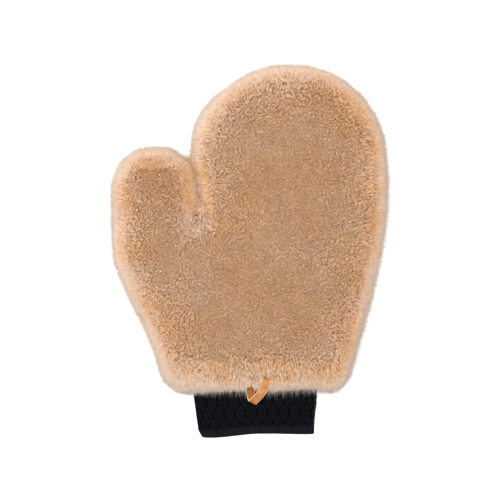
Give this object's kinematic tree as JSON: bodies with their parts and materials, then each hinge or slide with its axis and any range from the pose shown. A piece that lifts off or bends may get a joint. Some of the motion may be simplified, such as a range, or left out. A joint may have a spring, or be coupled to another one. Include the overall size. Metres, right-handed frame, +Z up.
{
  "type": "wash mitt",
  "caption": "Sheepskin wash mitt with a thumb, deep wool pile on both faces, a black elastic cuff and a leather hanging loop.",
  "frame": {"origin": "on the floor, under the middle of the mitt's box, with the mitt lying on its back", "axes": "+X to the side away from the thumb, +Y towards the fingertips, +Z up through the palm"},
  "size_m": [0.202, 0.27, 0.0398],
  "materials": {
    "wool": "matte",
    "hide": "matte",
    "thread": "matte",
    "elastic": "matte",
    "leather": "satin"
  },
  "bodies": {
    "hand": {"palm_hide": "hide", "back_hide": "hide", "palm_wool": "wool", "back_wool": "wool", "thumb_side_seam_thread": "thread", "crotch_seam_thread": "thread", "outer_side_seam_thread": "thread", "cuff_join_thread": "thread"},
    "fingers": {"finger_palm_hide": "hide", "finger_back_hide": "hide", "finger_palm_wool": "wool", "finger_back_wool": "wool", "finger_seam_thread": "thread"},
    "thumb": {"thumb_palm_hide": "hide", "thumb_back_hide": "hide", "thumb_palm_wool": "wool", "thumb_back_wool": "wool", "thumb_seam_thread": "thread"},
    "cuff": {"cuff_elastic": "elastic", "cuff_hem_band": "elastic", "cuff_side_seam_thread": "elastic"},
    "loop": {"hanging_loop": "leather", "loop_tack_thread": "thread"}
  },
  "joints": [
    {"name": "finger_flex", "type": "hinge", "parent": "hand", "child": "fingers", "pos_m": [0, 0.05002, 0.019], "axis": [1, 0, 0], "range_deg": [-15, 60], "stiffness_Nm_per_rad": 0.15},
    {"name": "thumb_flex", "type": "hinge", "parent": "hand", "child": "thumb", "pos_m": [-0.03732, 0.03767, 0.019], "axis": [0.9725, 0.2329, 0], "range_deg": [-15, 45], "stiffness_Nm_per_rad": 0.06},
    {"name": "wrist_flex", "type": "hinge", "parent": "hand", "child": "cuff", "pos_m": [0.00391, -0.09098, 0.019], "axis": [1, 0, 0], "range_deg": [-30, 30], "stiffness_Nm_per_rad": 0.04},
    {"name": "loop_swing", "type": "hinge", "parent": "cuff", "child": "loop", "pos_m": [0.00551, -0.09298, 0.0247], "axis": [-1, 0, 0], "range_deg": [0, 60]}
  ]
}
